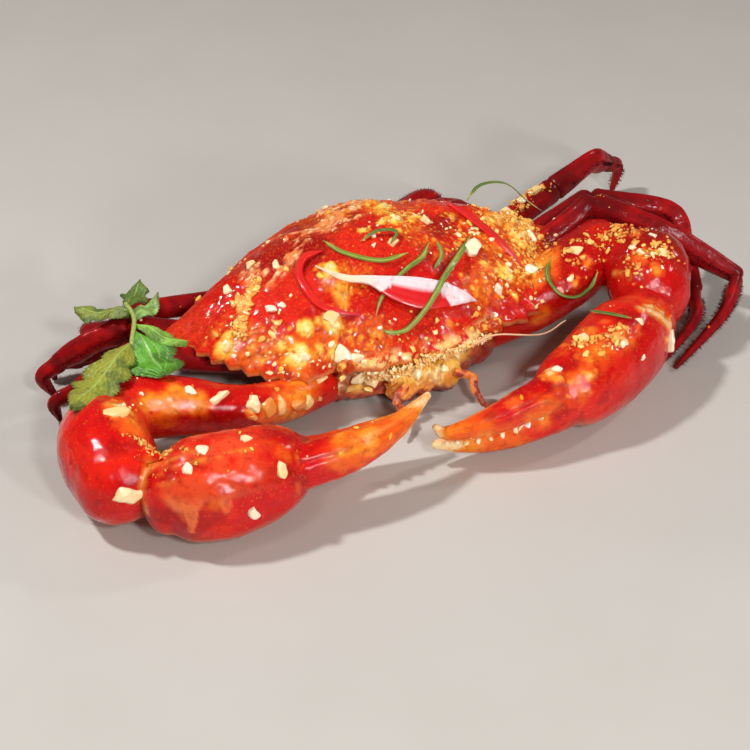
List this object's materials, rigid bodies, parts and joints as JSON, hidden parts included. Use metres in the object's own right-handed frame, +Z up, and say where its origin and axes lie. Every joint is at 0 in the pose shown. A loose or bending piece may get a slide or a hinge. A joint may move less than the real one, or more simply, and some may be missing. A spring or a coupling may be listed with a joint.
{
  "type": "cooked crab",
  "caption": "Whole cooked crab in chilli sauce, both claws folded in front, dressed with garlic, spring onion, chilli and coriander; rests on its belly.",
  "frame": {"origin": "on the surface that the crab rests on, under the middle of its body, at the centre of the flat of its belly", "axes": "+X across the shell, -Y the way the mouth and the folded claws face, +Z up"},
  "size_m": [0.2751, 0.1756, 0.0522],
  "materials": {
    "shell": "cooked shell under a thick glossy chilli sauce with crumbs of fried garlic",
    "claw": "smooth cooked claw shell, wet with sauce, paler towards the tips",
    "leg": "dark red cooked leg shell, ridged and wet",
    "belly": "pale cooked underside with orange joints",
    "mouth": "tan mouth parts, wet with sauce",
    "eye": "small glossy dark eye",
    "garlic": "chopped fried garlic, cream to golden, moist",
    "sauce": "thin glossy orange-red chilli sauce",
    "chilli": "fresh red chilli skin, with white pith on the cut side",
    "spring_onion": "shredded spring onion, green to yellow-green, damp",
    "coriander": "soft veined leaf, bright green to olive-yellow"
  },
  "bodies": {
    "root": {"carapace": "shell", "body": "belly", "eye_left": "eye", "eye_right": "eye", "mouth_flap_left": "mouth", "mouth_flap_right": "mouth", "mouth_palp_left": "mouth", "mouth_palp_right": "mouth", "antenna": "mouth", "claw_left_arm": "claw", "claw_left_wrist": "claw", "claw_left_palm": "claw", "claw_left_finger": "claw", "claw_right_arm": "claw", "claw_right_wrist": "claw", "claw_right_palm": "claw", "claw_right_finger": "claw", "leg_left_1_thigh": "leg", "leg_left_1_shin": "leg", "leg_left_1_tip": "leg", "leg_left_2_thigh": "leg", "leg_left_2_shin": "leg", "leg_left_2_tip": "leg", "leg_left_3_thigh": "leg", "leg_left_3_shin": "leg", "leg_left_3_tip": "leg", "leg_left_4_thigh": "leg", "leg_left_4_shin": "leg", "leg_left_4_tip": "leg", "leg_right_1_thigh": "leg", "leg_right_1_shin": "leg", "leg_right_1_tip": "leg", "leg_right_2_thigh": "leg", "leg_right_2_shin": "leg", "leg_right_2_tip": "leg", "leg_right_3_thigh": "leg", "leg_right_3_shin": "leg", "leg_right_3_tip": "leg", "leg_right_4_thigh": "leg", "leg_right_4_shin": "leg", "leg_right_4_tip": "leg", "chilli_1": "chilli", "chilli_2": "chilli", "chilli_3": "chilli", "scallion_1": "spring_onion", "scallion_2": "spring_onion", "scallion_3": "spring_onion", "scallion_4": "spring_onion", "scallion_5": "spring_onion", "scallion_6": "spring_onion", "scallion_7": "spring_onion", "scallion_8": "spring_onion", "coriander": "coriander"}
  },
  "joints": []
}
